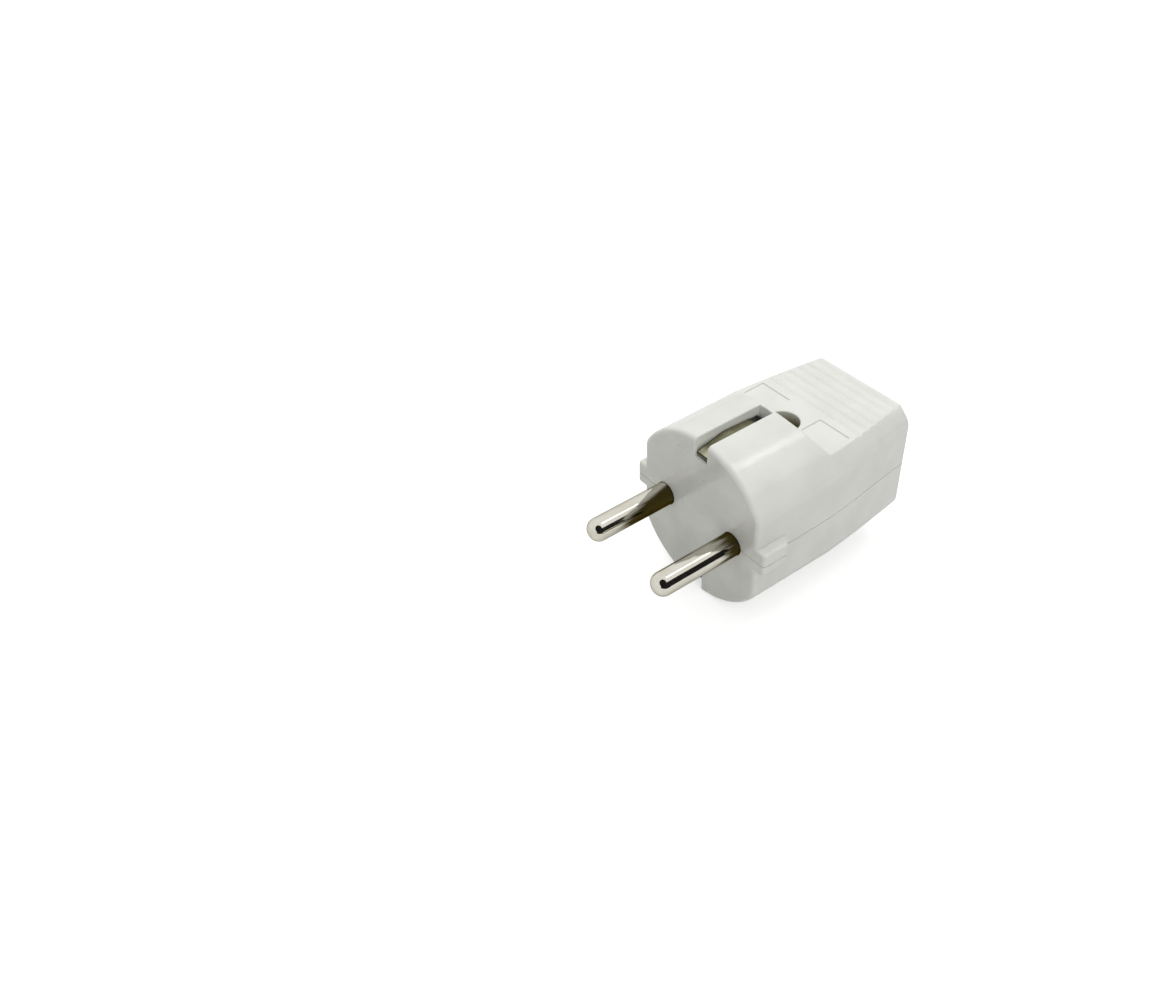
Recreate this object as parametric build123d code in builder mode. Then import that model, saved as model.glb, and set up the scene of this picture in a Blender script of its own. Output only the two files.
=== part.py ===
"""Earthed two-pin mains plug for rewiring: half shells, turned pins, a bent earth strip and a cord clamp.

X runs across the two pins, Y from the face towards the cord, Z up. The origin is the middle of the face, in
the plane where the two half shells meet. The pins point along -Y.
"""
import os
from math import atan, tan
from build123d import *

# Contact pins and their wire terminals
pin_diameter = 4.8
pin_length = 19.0
pin_spacing = 19.0
pin_tip_round = 2.1
pin_neck_diameter = 4.2
pin_neck_reach = 0.1
pin_root_diameter = 5.4
pin_root_setback = 0.8
terminal_diameter = 7.0
terminal_length = 11.8
wire_hole_diameter = 3.2
wire_hole_depth = 7.5
terminal_screw_setback = 3.8
terminal_screw_lift = 0.5

# Body: head, step and grip
head_radius = 18.5
head_side_cut = 2.4
head_crest_length = 16.9
step_base = 20.8
grip_half_height = 13.0
body_length = 43.0
rear_half_width = 13.4
rear_corner_drop = 1.8
corner_bow_radius = 500.0
side_bend = 19.6
side_blend_reach = 5.2
crease_round = 3.0
face_round = 1.0
base_round = 1.0
rim_round = 0.5
wall = 2.2
front_wall = 5.0
seam_depth = 0.25
seam_height = 0.2

# Guide tabs at the sides of the head
tab_stand = 2.1
tab_length = 5.9
tab_base_length = 7.6
tab_rise = 2.8
tab_drop = 2.2
tab_round = 0.8
tab_edge_round = 0.5

# Grip ribs
rib_zone_setback = 27.2
rib_pitch = 2.34
rib_depth = 0.28
rib_groove_width = 2.1
rib_radius = 2.2
rib_setback = 1.7

# Shallow bare panels beside the upper screw hole
panel_depth = 0.2
panel_gap = 8.2
panel_reach = 11.8
panel_setback = 21.9
panel_corner_round = 0.3

# Earth strip, its slots and its terminal
slot_width = 3.3
slot_length = 16.3
slot_depth = 4.5
slot_lip_round = 0.3
strip_width = 2.7
strip_thickness = 0.8
strip_tip_setback = 0.4
strip_tip_depth = 3.6
strip_bow_setback = 6.8
strip_bow_depth = 1.95
strip_bow_radius = 8.0
strip_corner_setback = 14.3
strip_corner_depth = 2.3
strip_bend_radius = 1.2
strip_jog_rise = 0.7
strip_jog_height = 1.6
web_setback = 13.1
web_half_width = 4.0
web_top = 9.5
web_bottom = 6.0
earth_screw_height = 4.5
clamp_plate_width = 6.4
clamp_plate_thickness = 0.8
earth_nut_width = 5.5
earth_nut_thickness = 2.4
post_grip = 0.4
post_width = 1.6
post_length = 2.6

# Screws
screw_diameter = 3.0
screw_head_diameter = 5.6
screw_head_height = 2.0
screw_head_chamfer = 0.5
screw_tip_chamfer = 0.4
recess_width = 0.9
recess_reach = 3.2
recess_depth = 1.1
terminal_screw_length = 5.0
earth_screw_length = 6.0
clamp_screw_length = 10.0

# Closing screw and nut
closing_setback = 21.4
closing_hole_diameter = 6.5
closing_hole_round = 0.3
closing_head_depth = 1.0
closing_screw_length = 20.0
closing_nut_width = 5.5
closing_nut_thickness = 2.4
closing_screw_overhang = 0.4
boss_wall = 1.6

# Ribs that hold the pins
cradle_setback = 8.0
cradle_wall = 2.0
wire_passage_diameter = 4.4

# Cord entry and clamp
cord_hole_diameter = 11.2
cord_hole_chamfer = 0.5
cord_diameter = 8.0
clamp_setback = 33.0
clamp_width = 5.0
clamp_thickness = 2.0
clamp_seat_drop = 1.0
clamp_screw_spacing = 17.6
clamp_foot_reach = 2.6
clamp_post_diameter = 6.0
pilot_hole_spare = 0.6

# Clearances
pin_clearance = 0.1
terminal_clearance = 0.05
terminal_end_play = 0.2
thread_clearance = 0.05
screw_clearance = 0.15
strip_clearance = 0.1
nut_clearance = 0.05

# Places worked out from the sizes
pin_offset = pin_spacing / 2
head_half_width = head_radius - head_side_cut
tab_reach = head_half_width + tab_stand
terminal_front = front_wall + terminal_end_play
terminal_rear = terminal_front + terminal_length
stop_front = terminal_rear + terminal_end_play
cradle_reach = pin_offset - terminal_diameter / 2 - cradle_wall
boss_radius = closing_hole_diameter / 2 + boss_wall
lip_depth = pin_root_setback - pin_clearance
slot_floor = head_radius - slot_depth
rib_count = int((body_length - rib_setback - rib_zone_setback) / rib_pitch)
ribs_front = body_length - rib_setback - rib_count * rib_pitch
web_front = web_setback - strip_thickness / 2
web_rear = web_setback + strip_thickness / 2
earth_seat = web_rear + clamp_plate_thickness
clamp_seat = -clamp_seat_drop
clamp_top = clamp_seat + clamp_thickness
clamp_screw_offset = clamp_screw_spacing / 2
closing_seat = grip_half_height - closing_head_depth - screw_head_height
nut_top = closing_screw_length - closing_seat - closing_screw_overhang
nut_seat = nut_top - closing_nut_thickness
tapped_radius = screw_diameter / 2 + thread_clearance
passing_radius = screw_diameter / 2 + screw_clearance
step_slope = (step_base - head_crest_length) / (head_radius - grip_half_height)
overshoot = 1.0

os.makedirs("parts", exist_ok=True)


def body_form(inset):
    """Body drawn in by inset on every side: what its plan, side view and a turned form have in common."""
    corner_taper = rear_corner_drop / (body_length - step_base)
    side_taper = (head_half_width - rear_half_width) / (body_length - side_bend)
    side_blend = side_blend_reach / tan(atan(side_taper) / 2)
    crest = head_radius + overshoot
    crest_setback = head_crest_length - overshoot * step_slope
    rear = body_length + overshoot
    rear_width = rear_half_width - overshoot * side_taper
    with BuildPart() as form:
        with BuildSketch(Plane.XY.offset(-crest)) as plan:
            with BuildLine():
                Polyline(
                    (-head_half_width, -overshoot),
                    (head_half_width, -overshoot),
                    (head_half_width, side_bend),
                    (rear_width, rear),
                    (-rear_width, rear),
                    (-head_half_width, side_bend),
                    close=True,
                )
            make_face()
            fillet(plan.vertices().filter_by_position(Axis.Y, side_bend, side_bend), side_blend)
            if inset:
                offset(amount=-inset, kind=Kind.INTERSECTION)
        extrude(amount=2 * crest)
        with BuildSketch(Plane.YZ.offset(-crest)):
            with BuildLine():
                Polyline(
                    (-overshoot, -crest),
                    (crest_setback, -crest),
                    (step_base, -grip_half_height),
                    (rear, -grip_half_height),
                    (rear, grip_half_height),
                    (step_base, grip_half_height),
                    (crest_setback, crest),
                    (-overshoot, crest),
                    close=True,
                )
            make_face()
            if inset:
                offset(amount=-inset, kind=Kind.INTERSECTION)
        extrude(amount=2 * crest, mode=Mode.INTERSECT)
        with BuildSketch(Plane.XY):
            with BuildLine():
                front_corner = (head_radius - inset, step_base)
                rear_radius = head_radius - rear_corner_drop + corner_taper * inset - inset
                rear_corner = (rear_radius, body_length - inset)
                Polyline((0, inset), (head_radius - inset, inset), front_corner)
                RadiusArc(front_corner, rear_corner, -corner_bow_radius)
                Polyline(rear_corner, (0, body_length - inset), (0, inset))
            make_face()
        revolve(axis=Axis.Y, mode=Mode.INTERSECT)
    return form.part


def is_side_crease(edge):
    """True for an edge along the body where a flat side meets the round of the head or grip."""
    runs_along = edge.bounding_box().size.Y > overshoot
    return runs_along and abs(edge.center().Z) < grip_half_height - overshoot


def is_hole_rim(edge):
    """True for an edge where the closing screw's hole breaks through the outside of the body."""
    box = edge.bounding_box()
    reach = closing_hole_diameter / 2 + closing_hole_round
    in_width = -reach < box.min.X and box.max.X < reach
    in_length = closing_setback - reach < box.min.Y and box.max.Y < closing_setback + reach
    return in_width and in_length and abs(edge.center().Z) > grip_half_height - closing_hole_round


def across(setback):
    """Plane across the plug behind the face: normal to the rear, local Y up, local X towards -X."""
    return Plane((0, setback, 0), x_dir=(-1, 0, 0), z_dir=(0, 1, 0))


bare_form = body_form(0)
inner_form = body_form(wall)
seam_form = body_form(seam_depth)

# Outer form of the body, with its earth slots and rounded edges
with BuildPart() as outer:
    add(bare_form)
    between_ends = outer.edges().filter_by_position(Axis.Y, 0, body_length, (False, False))
    fillet(between_ends.filter_by(is_side_crease), crease_round)
    fillet(outer.edges().filter_by_position(Axis.Y, 0, 0), face_round)
    fillet(outer.edges().filter_by(Axis.X).filter_by_position(Axis.Y, step_base, step_base), base_round)
    above = outer.edges().filter_by_position(Axis.Z, grip_half_height - rim_round, head_radius)
    below = outer.edges().filter_by_position(Axis.Z, -head_radius, rim_round - grip_half_height)
    crest_front = head_crest_length - rim_round
    behind_crest = (above + below).filter_by_position(Axis.Y, crest_front, body_length, (True, False))
    rear_rim = outer.edges().filter_by_position(Axis.Y, body_length, body_length)
    fillet(behind_crest.filter_by(Axis.X, reverse=True) + rear_rim, rim_round)
    for side in (-1, 1):
        with BuildSketch(Plane.XY.offset(side * slot_floor)):
            Rectangle(slot_width, 2 * slot_length)
        extrude(amount=side * head_radius, mode=Mode.SUBTRACT)
    near_slots = outer.edges().filter_by_position(Axis.X, -slot_width / 2, slot_width / 2)
    beside_slots = near_slots.filter_by_position(Axis.Y, 0, slot_length)
    upper_lips = beside_slots.filter_by_position(Axis.Z, head_radius - face_round, head_radius)
    lower_lips = beside_slots.filter_by_position(Axis.Z, -head_radius, face_round - head_radius)
    fillet(upper_lips + lower_lips, slot_lip_round)

# Bar whose ends are the guide tabs
with BuildPart() as tab_bar:
    with BuildSketch(Plane.XY.offset(-tab_drop)) as tab_plan:
        with BuildLine():
            Polyline(
                (-tab_reach, 0),
                (tab_reach, 0),
                (tab_reach, tab_length),
                (head_half_width, tab_base_length),
                (-head_half_width, tab_base_length),
                (-tab_reach, tab_length),
                close=True,
            )
        make_face()
        outer_corners = tab_plan.vertices().filter_by_position(Axis.Y, 0, tab_length)
        fillet(outer_corners, tab_round)
    extrude(amount=tab_rise + tab_drop)
    flat_sides = tab_bar.faces().filter_by(Axis.Z)
    fillet(flat_sides.edges(), tab_edge_round)

# Space inside the closed shells, with the pin cradles, stops, strip posts and screw boss left standing
with BuildPart() as hollow:
    add(inner_form)
    split(bisect_by=across(front_wall), keep=Keep.TOP)
    with BuildSketch(Plane.XY.offset(-head_radius)):
        with Locations((0, closing_setback)):
            Circle(boss_radius)
        for side in (-1, 1):
            beside = Align.MIN if side > 0 else Align.MAX
            with Locations((side * cradle_reach, cradle_setback), (side * cradle_reach, stop_front)):
                Rectangle(head_radius, cradle_wall, align=(beside, Align.MIN))
            with Locations((side * (web_half_width - post_grip), web_setback)):
                Rectangle(post_width, post_length, align=(beside, Align.CENTER))
    extrude(amount=2 * head_radius, mode=Mode.SUBTRACT)

# Groove that the seam between the two shells leaves round the body, but not between the pins
with BuildPart() as seam:
    with Locations((0, body_length / 2, 0)):
        Box(4 * head_radius, 2 * body_length, seam_height)
    add(seam_form, mode=Mode.SUBTRACT)
    with Locations((0, tab_length / 2, 0)):
        Box(2 * (tab_reach - seam_depth), tab_length - 2 * seam_depth, seam_height, mode=Mode.SUBTRACT)
    Box(pin_spacing, 2 * front_wall, seam_height, mode=Mode.SUBTRACT)

# Both shells as one case, before it is parted
with BuildPart() as case:
    add(outer.part)
    add(tab_bar.part)
    add(hollow.part, mode=Mode.SUBTRACT)
    with BuildSketch(across(body_length - 2 * wall)):
        Circle(cord_hole_diameter / 2)
    extrude(amount=3 * wall, mode=Mode.SUBTRACT)
    hole_rim = case.edges().filter_by(GeomType.CIRCLE).filter_by_position(Axis.Y, body_length, body_length)
    chamfer(hole_rim.sort_by(SortBy.LENGTH)[-1], cord_hole_chamfer)
    add(seam.part, mode=Mode.SUBTRACT)
    for side in (-1, 1):
        with BuildSketch(across(-overshoot)):
            with Locations((side * pin_offset, 0)):
                Circle(pin_diameter / 2 + pin_clearance)
        extrude(amount=front_wall + overshoot, mode=Mode.SUBTRACT)
        with BuildSketch(across(lip_depth)):
            with Locations((side * pin_offset, 0)):
                Circle(pin_root_diameter / 2 + pin_clearance)
        extrude(amount=front_wall + overshoot - lip_depth, mode=Mode.SUBTRACT)
        with BuildSketch(across(front_wall)):
            with Locations((side * pin_offset, 0)):
                Circle(terminal_diameter / 2 + terminal_clearance)
        extrude(amount=stop_front - front_wall, mode=Mode.SUBTRACT)
        with BuildSketch(across(stop_front - overshoot)):
            with Locations((side * pin_offset, 0)):
                Circle(wire_passage_diameter / 2)
        extrude(amount=cradle_wall + 2 * overshoot, mode=Mode.SUBTRACT)
        with BuildSketch(Plane.YZ.offset(-head_radius)):
            for number in range(rib_count):
                valley = body_length - rib_setback - number * rib_pitch
                brim = side * grip_half_height
                trough = side * (grip_half_height - rib_depth)
                edge_near = valley - rib_groove_width / 2
                edge_far = valley + rib_groove_width / 2
                with BuildLine():
                    RadiusArc((edge_near, brim), (valley, trough), side * rib_radius)
                    RadiusArc((valley, trough), (edge_far, brim), side * rib_radius)
                    Line((edge_far, brim), (edge_near, brim))
                make_face()
        extrude(amount=2 * head_radius, mode=Mode.SUBTRACT)
    groove_height = web_top + web_bottom + 2 * strip_clearance
    with Locations((0, web_setback, -web_bottom - strip_clearance)):
        Box(
            2 * (web_half_width + strip_clearance),
            strip_thickness + 2 * strip_clearance,
            groove_height,
            align=(Align.CENTER, Align.CENTER, Align.MIN),
            mode=Mode.SUBTRACT,
        )
    with Locations((0, closing_setback, 0)):
        Cylinder(passing_radius, 4 * head_radius, mode=Mode.SUBTRACT)

# Upper half shell, with the nut's pocket
with BuildPart() as upper_shell:
    add(case.part)
    split(bisect_by=Plane.XY, keep=Keep.TOP)
    with BuildSketch(Plane.XY.offset(nut_seat)):
        with Locations((0, closing_setback)):
            RegularPolygon(closing_nut_width / 2 + nut_clearance, side_count=6, major_radius=False)
    extrude(amount=head_radius, mode=Mode.SUBTRACT)
    with BuildSketch(Plane.XY.offset(nut_top)):
        with Locations((0, closing_setback)):
            Circle(closing_hole_diameter / 2)
    extrude(amount=head_radius, mode=Mode.SUBTRACT)
    fillet(upper_shell.edges().filter_by(is_hole_rim), closing_hole_round)
    with BuildSketch(Plane.XY.offset(grip_half_height - panel_depth)) as panels:
        for side in (-1, 1):
            beside = Align.MIN if side > 0 else Align.MAX
            with Locations((side * panel_gap / 2, panel_setback)):
                Rectangle(
                    panel_reach - panel_gap / 2,
                    ribs_front - panel_setback,
                    align=(beside, Align.MIN),
                )
        fillet(panels.vertices(), panel_corner_round)
    extrude(amount=rim_round, mode=Mode.SUBTRACT)
upper_shell.part.label = "upper_shell"
export_step(upper_shell.part, "parts/upper_shell.step")

# Lower half shell, with the screw head's recess and the cord clamp's posts and saddle
with BuildPart() as lower_shell:
    add(case.part)
    split(bisect_by=Plane.XY, keep=Keep.BOTTOM)
    with BuildSketch(Plane.XY.offset(-closing_seat)):
        with Locations((0, closing_setback)):
            Circle(closing_hole_diameter / 2)
    extrude(amount=-head_radius, mode=Mode.SUBTRACT)
    fillet(lower_shell.edges().filter_by(is_hole_rim), closing_hole_round)
    with BuildSketch(Plane.XY.offset(clamp_seat)) as clamp_base:
        with Locations((0, clamp_setback)):
            Rectangle(clamp_screw_spacing, clamp_width / 2)
            with GridLocations(clamp_screw_spacing, 0, 2, 1):
                Circle(clamp_post_diameter / 2)
    extrude(amount=clamp_seat_drop - grip_half_height + wall / 2)
    with BuildSketch(across(clamp_setback - clamp_width)):
        with Locations((0, clamp_seat)):
            Circle(cord_diameter / 2)
    extrude(amount=2 * clamp_width, mode=Mode.SUBTRACT)
    with BuildSketch(Plane.XY.offset(clamp_seat)):
        with Locations((0, clamp_setback)):
            with GridLocations(clamp_screw_spacing, 0, 2, 1):
                Circle(tapped_radius)
    extrude(amount=clamp_thickness - clamp_screw_length - pilot_hole_spare, mode=Mode.SUBTRACT)
lower_shell.part.label = "lower_shell"
export_step(lower_shell.part, "parts/lower_shell.step")

# Contact pins, turned in one piece with their wire terminals
for name, place in (("left_pin", -pin_offset), ("right_pin", pin_offset)):
    with BuildPart() as pin:
        with BuildSketch(across(-pin_length)):
            with Locations((-place, 0)):
                Circle(pin_diameter / 2)
        extrude(amount=pin_length - pin_neck_reach)
        fillet(pin.edges().sort_by(Axis.Y)[0], pin_tip_round)
        with BuildSketch(across(-pin_neck_reach)):
            with Locations((-place, 0)):
                Circle(pin_neck_diameter / 2)
        extrude(amount=pin_neck_reach + pin_root_setback)
        with BuildSketch(across(pin_root_setback)):
            with Locations((-place, 0)):
                Circle(pin_root_diameter / 2)
        extrude(amount=terminal_front - pin_root_setback)
        with BuildSketch(across(terminal_front)):
            with Locations((-place, 0)):
                Circle(terminal_diameter / 2)
        extrude(amount=terminal_length)
        with BuildSketch(across(terminal_rear)):
            with Locations((-place, 0)):
                Circle(wire_hole_diameter / 2)
        extrude(amount=-wire_hole_depth, mode=Mode.SUBTRACT)
        with BuildSketch(Plane.XY.offset(-wire_hole_diameter / 2)):
            with Locations((place, terminal_rear - terminal_screw_setback)):
                Circle(tapped_radius)
        extrude(amount=terminal_diameter, mode=Mode.SUBTRACT)
    pin.part.label = name
    export_step(pin.part, f"parts/{name}.step")

# Earth strip: one bent spring with an arm in each slot and a wide web for the terminal
with BuildPart() as earth_strip:
    tip_height = head_radius - strip_tip_depth
    bow_height = head_radius - strip_bow_depth
    corner_height = head_radius - strip_corner_depth
    jog_bottom = web_top + strip_jog_rise
    jog_top = jog_bottom + strip_jog_height
    bend = strip_bend_radius
    with BuildSketch(Plane.YZ.offset(-strip_width / 2)):
        with BuildLine() as strip_path:
            FilletPolyline(
                (strip_tip_setback, tip_height),
                (strip_bow_setback, bow_height),
                (strip_corner_setback, corner_height),
                (strip_corner_setback, jog_top),
                (web_setback, jog_bottom),
                (web_setback, -jog_bottom),
                (strip_corner_setback, -jog_top),
                (strip_corner_setback, -corner_height),
                (strip_bow_setback, -bow_height),
                (strip_tip_setback, -tip_height),
                radius=(strip_bow_radius, bend, bend, bend, bend, bend, bend, strip_bow_radius),
            )
        trace(strip_path.line, strip_thickness)
    extrude(amount=strip_width)
    with Locations((0, web_setback, -web_bottom)):
        Box(
            2 * web_half_width,
            strip_thickness,
            web_top + web_bottom,
            align=(Align.CENTER, Align.CENTER, Align.MIN),
        )
    with BuildSketch(across(web_front - overshoot)):
        with Locations((0, earth_screw_height)):
            Circle(passing_radius)
    extrude(amount=strip_thickness + 2 * overshoot, mode=Mode.SUBTRACT)
earth_strip.part.label = "earth_strip"
export_step(earth_strip.part, "parts/earth_strip.step")

# Earth terminal: clamp plate behind the web and square nut in front of it
with BuildPart() as earth_clamp_plate:
    with BuildSketch(across(web_rear)):
        with Locations((0, earth_screw_height)):
            Rectangle(clamp_plate_width, clamp_plate_width)
            Circle(passing_radius, mode=Mode.SUBTRACT)
    extrude(amount=clamp_plate_thickness)
earth_clamp_plate.part.label = "earth_clamp_plate"
export_step(earth_clamp_plate.part, "parts/earth_clamp_plate.step")

with BuildPart() as earth_nut:
    with BuildSketch(across(web_front)):
        with Locations((0, earth_screw_height)):
            Rectangle(earth_nut_width, earth_nut_width)
            Circle(tapped_radius, mode=Mode.SUBTRACT)
    extrude(amount=-earth_nut_thickness)
earth_nut.part.label = "earth_nut"
export_step(earth_nut.part, "parts/earth_nut.step")

# Cord clamp: saddle strap on the lower shell's posts
with BuildPart() as cord_clamp:
    with BuildSketch(across(clamp_setback - clamp_width / 2)):
        with Locations((0, clamp_seat)):
            foot_span = clamp_screw_spacing + 2 * clamp_foot_reach
            Rectangle(foot_span, clamp_thickness, align=(Align.CENTER, Align.MIN))
            Circle(cord_diameter / 2 + clamp_thickness)
            Circle(cord_diameter / 2, mode=Mode.SUBTRACT)
            under = 2 * cord_diameter
            Rectangle(under, under, align=(Align.CENTER, Align.MAX), mode=Mode.SUBTRACT)
    extrude(amount=clamp_width)
    with BuildSketch(Plane.XY.offset(clamp_seat - overshoot)):
        with Locations((0, clamp_setback)):
            with GridLocations(clamp_screw_spacing, 0, 2, 1):
                Circle(passing_radius)
    extrude(amount=clamp_thickness + 2 * overshoot, mode=Mode.SUBTRACT)
cord_clamp.part.label = "cord_clamp"
export_step(cord_clamp.part, "parts/cord_clamp.step")

# Hex nut of the closing screw
with BuildPart() as closing_nut:
    with BuildSketch(Plane.XY.offset(nut_seat)):
        with Locations((0, closing_setback)):
            RegularPolygon(closing_nut_width / 2, side_count=6, major_radius=False)
            Circle(tapped_radius, mode=Mode.SUBTRACT)
    extrude(amount=closing_nut_thickness)
closing_nut.part.label = "closing_nut"
export_step(closing_nut.part, "parts/closing_nut.step")

# Cross-head screws: the plane that each head sits on, and the length under the head
terminal_screw_place = terminal_rear - terminal_screw_setback
terminal_screw_seat = terminal_diameter / 2 + terminal_screw_lift
screws = {
    "closing_screw": (Plane((0, closing_setback, -closing_seat), z_dir=(0, 0, -1)), closing_screw_length),
    "earth_screw": (Plane((0, earth_seat, earth_screw_height), z_dir=(0, 1, 0)), earth_screw_length),
}
for name, side in (("left", -1), ("right", 1)):
    terminal_place = Plane((side * pin_offset, terminal_screw_place, terminal_screw_seat))
    screws[f"{name}_terminal_screw"] = (terminal_place, terminal_screw_length)
    clamp_place = Plane((side * clamp_screw_offset, clamp_setback, clamp_top))
    screws[f"{name}_clamp_screw"] = (clamp_place, clamp_screw_length)

for name, (seat, length) in screws.items():
    with BuildPart() as screw:
        with BuildSketch(seat):
            Circle(screw_head_diameter / 2)
        extrude(amount=screw_head_height)
        chamfer(screw.edges().sort_by(Axis(seat.origin, seat.z_dir))[-1], screw_head_chamfer)
        with BuildSketch(seat):
            Circle(screw_diameter / 2)
        extrude(amount=-length)
        chamfer(screw.edges().sort_by(Axis(seat.origin, seat.z_dir))[0], screw_tip_chamfer)
        with BuildSketch(seat.offset(screw_head_height)):
            Rectangle(recess_reach, recess_width)
            Rectangle(recess_width, recess_reach)
        extrude(amount=-recess_depth, mode=Mode.SUBTRACT)
    screw.part.label = name
    export_step(screw.part, f"parts/{name}.step")
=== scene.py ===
"""Looks of an earthed mains plug for rewiring: pale half shells, nickel-plated pins and a bent earth strip.

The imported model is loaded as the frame. Shells, pins, strip, terminal plate and cord clamp keep its solids
and get their finishes here. Screws and nuts are made anew, with crowned heads, cross recesses, chamfers and
threads.
"""
from math import cos, pi, radians, sin, tan

import bpy
import numpy as np
from mathutils import Matrix, Vector


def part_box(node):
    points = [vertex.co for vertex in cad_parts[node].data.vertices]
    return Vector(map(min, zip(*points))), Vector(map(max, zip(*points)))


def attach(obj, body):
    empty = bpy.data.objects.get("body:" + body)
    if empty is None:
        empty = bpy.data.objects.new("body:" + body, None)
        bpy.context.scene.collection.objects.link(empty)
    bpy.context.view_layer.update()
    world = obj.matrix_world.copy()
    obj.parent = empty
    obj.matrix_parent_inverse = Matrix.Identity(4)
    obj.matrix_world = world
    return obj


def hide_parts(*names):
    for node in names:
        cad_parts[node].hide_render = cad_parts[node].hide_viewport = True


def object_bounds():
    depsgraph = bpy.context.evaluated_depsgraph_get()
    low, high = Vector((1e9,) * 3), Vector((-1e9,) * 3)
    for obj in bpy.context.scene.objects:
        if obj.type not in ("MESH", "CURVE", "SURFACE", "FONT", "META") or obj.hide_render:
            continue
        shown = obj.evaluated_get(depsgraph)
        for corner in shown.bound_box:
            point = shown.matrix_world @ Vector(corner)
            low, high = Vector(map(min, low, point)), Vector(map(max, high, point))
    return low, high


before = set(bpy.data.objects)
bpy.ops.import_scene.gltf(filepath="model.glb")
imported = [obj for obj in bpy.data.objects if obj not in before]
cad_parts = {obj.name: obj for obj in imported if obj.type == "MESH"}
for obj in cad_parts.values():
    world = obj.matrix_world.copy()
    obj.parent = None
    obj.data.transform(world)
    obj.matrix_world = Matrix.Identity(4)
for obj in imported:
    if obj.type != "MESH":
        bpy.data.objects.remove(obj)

bl_info = {
    "name": "Earthed Mains Plug",
    "version": (1, 0, 0),
    "blender": (4, 5, 0),
    "location": "3D View > Sidebar > Plug",
    "description": "Gives the packed model of an earthed mains plug its finishes, fasteners and stage",
    "category": "Add Mesh",
}

CAD_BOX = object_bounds()
MM = 0.001

# Which way each screw's head points, out of its seat
SCREW_HEADS = {
    "closing_screw": (0, 0, -1),
    "earth_screw": (0, 1, 0),
    "left_terminal_screw": (0, 0, 1),
    "right_terminal_screw": (0, 0, 1),
    "left_clamp_screw": (0, 0, 1),
    "right_clamp_screw": (0, 0, 1),
}

# Each nut's bolt axis and its number of flats
NUTS = {
    "closing_nut": ((0, 0, 1), 6),
    "earth_nut": ((0, 1, 0), 4),
}

# Rows and columns of the screws' and nuts' meshes, and the bend past which an edge is sharp
SCREW_COLUMNS = 72
HEAD_ROWS = 26
EDGE_ROWS = 7
ROWS_PER_PITCH = 7
NUT_COLUMNS_PER_FLAT = 24
SHARP_ANGLE = radians(40)

# Thread's wave: how steep its flanks are, and how far its roots are cut off
THREAD_STEEPNESS = 1.35
THREAD_ROOT = 0.15

# Chamfer under a screw's head as a share of its radius, and how much the tip narrows
SEAT_BEVEL = 0.05
TIP_NARROWING = 0.3

# Play of a nut's bore round a thread, and its rims as shares of the thread's root and of the nut's width
BORE_PLAY = 0.05 * MM
BORE_RIM = 1.2
FLAT_RIM = 0.47

# Part of a noise's range where most of it lies, and its middle
NOISE_LOW = 0.35
NOISE_HIGH = 0.65
NOISE_MIDDLE = 0.5

# Detail of each noise
CLOUD_DETAIL = 4.0
GRAIN_DETAIL = 3.0
SMEAR_DETAIL = 5.0
SPECK_DETAIL = 2.0
LINE_DETAIL = 3.0
STAIN_DETAIL = 5.0
STREAK_DETAIL = 2.0

# Stretch of the three axes that draws the lines of a metal piece out along it
PIN_LINES = (1.0, 0.02, 1.0)
STRIP_LINES = (1.0, 0.05, 0.05)
SCREW_LINES = (1.0, 1.0, 0.3)
NUT_LINES = (1.0, 1.0, 1.0)
TARNISH_LINES = (1.0, 0.05, 1.0)

# Most that stains cover, and strength of each bump
STAIN_MOST = 0.7
BUMP_STRENGTH = 0.6

# Stage: the camera's sensor width in millimetres, how near and far it sees in metres, the floor's dull
# surface, and corners of the round card
SENSOR_WIDTH = 36.0
NEAREST = 0.01
FARTHEST = 20.0
FLOOR_ROUGHNESS = 0.9
FLOOR_SPECULAR = 0.1
CARD_CORNERS = 32


def length(name, description, millimetres):
    """A property for a size, kept in metres."""
    return bpy.props.FloatProperty(
        name=name, description=description, default=millimetres * MM, min=0.0, precision=6, unit="LENGTH"
    )


def colour(name, description, rgb):
    """A property for a linear colour."""
    return bpy.props.FloatVectorProperty(
        name=name, description=description, default=rgb, min=0.0, max=1.0, size=3, subtype="COLOR"
    )


def share(name, description, value):
    """A property for a share between nothing and all."""
    return bpy.props.FloatProperty(
        name=name, description=description, default=value, min=0.0, max=1.0, subtype="FACTOR"
    )


def angle(name, description, degrees):
    """A property for an angle, kept in radians."""
    return bpy.props.FloatProperty(
        name=name, description=description, default=radians(degrees), subtype="ANGLE", unit="ROTATION"
    )


def point(name, description, metres):
    """A property for a place in space."""
    return bpy.props.FloatVectorProperty(
        name=name,
        description=description,
        default=metres,
        size=3,
        precision=6,
        subtype="TRANSLATION",
        unit="LENGTH",
    )


def wattage(name, description, watts):
    """A property for a lamp's power."""
    return bpy.props.FloatProperty(
        name=name, description=description, default=watts, min=0.0, unit="POWER"
    )


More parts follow.
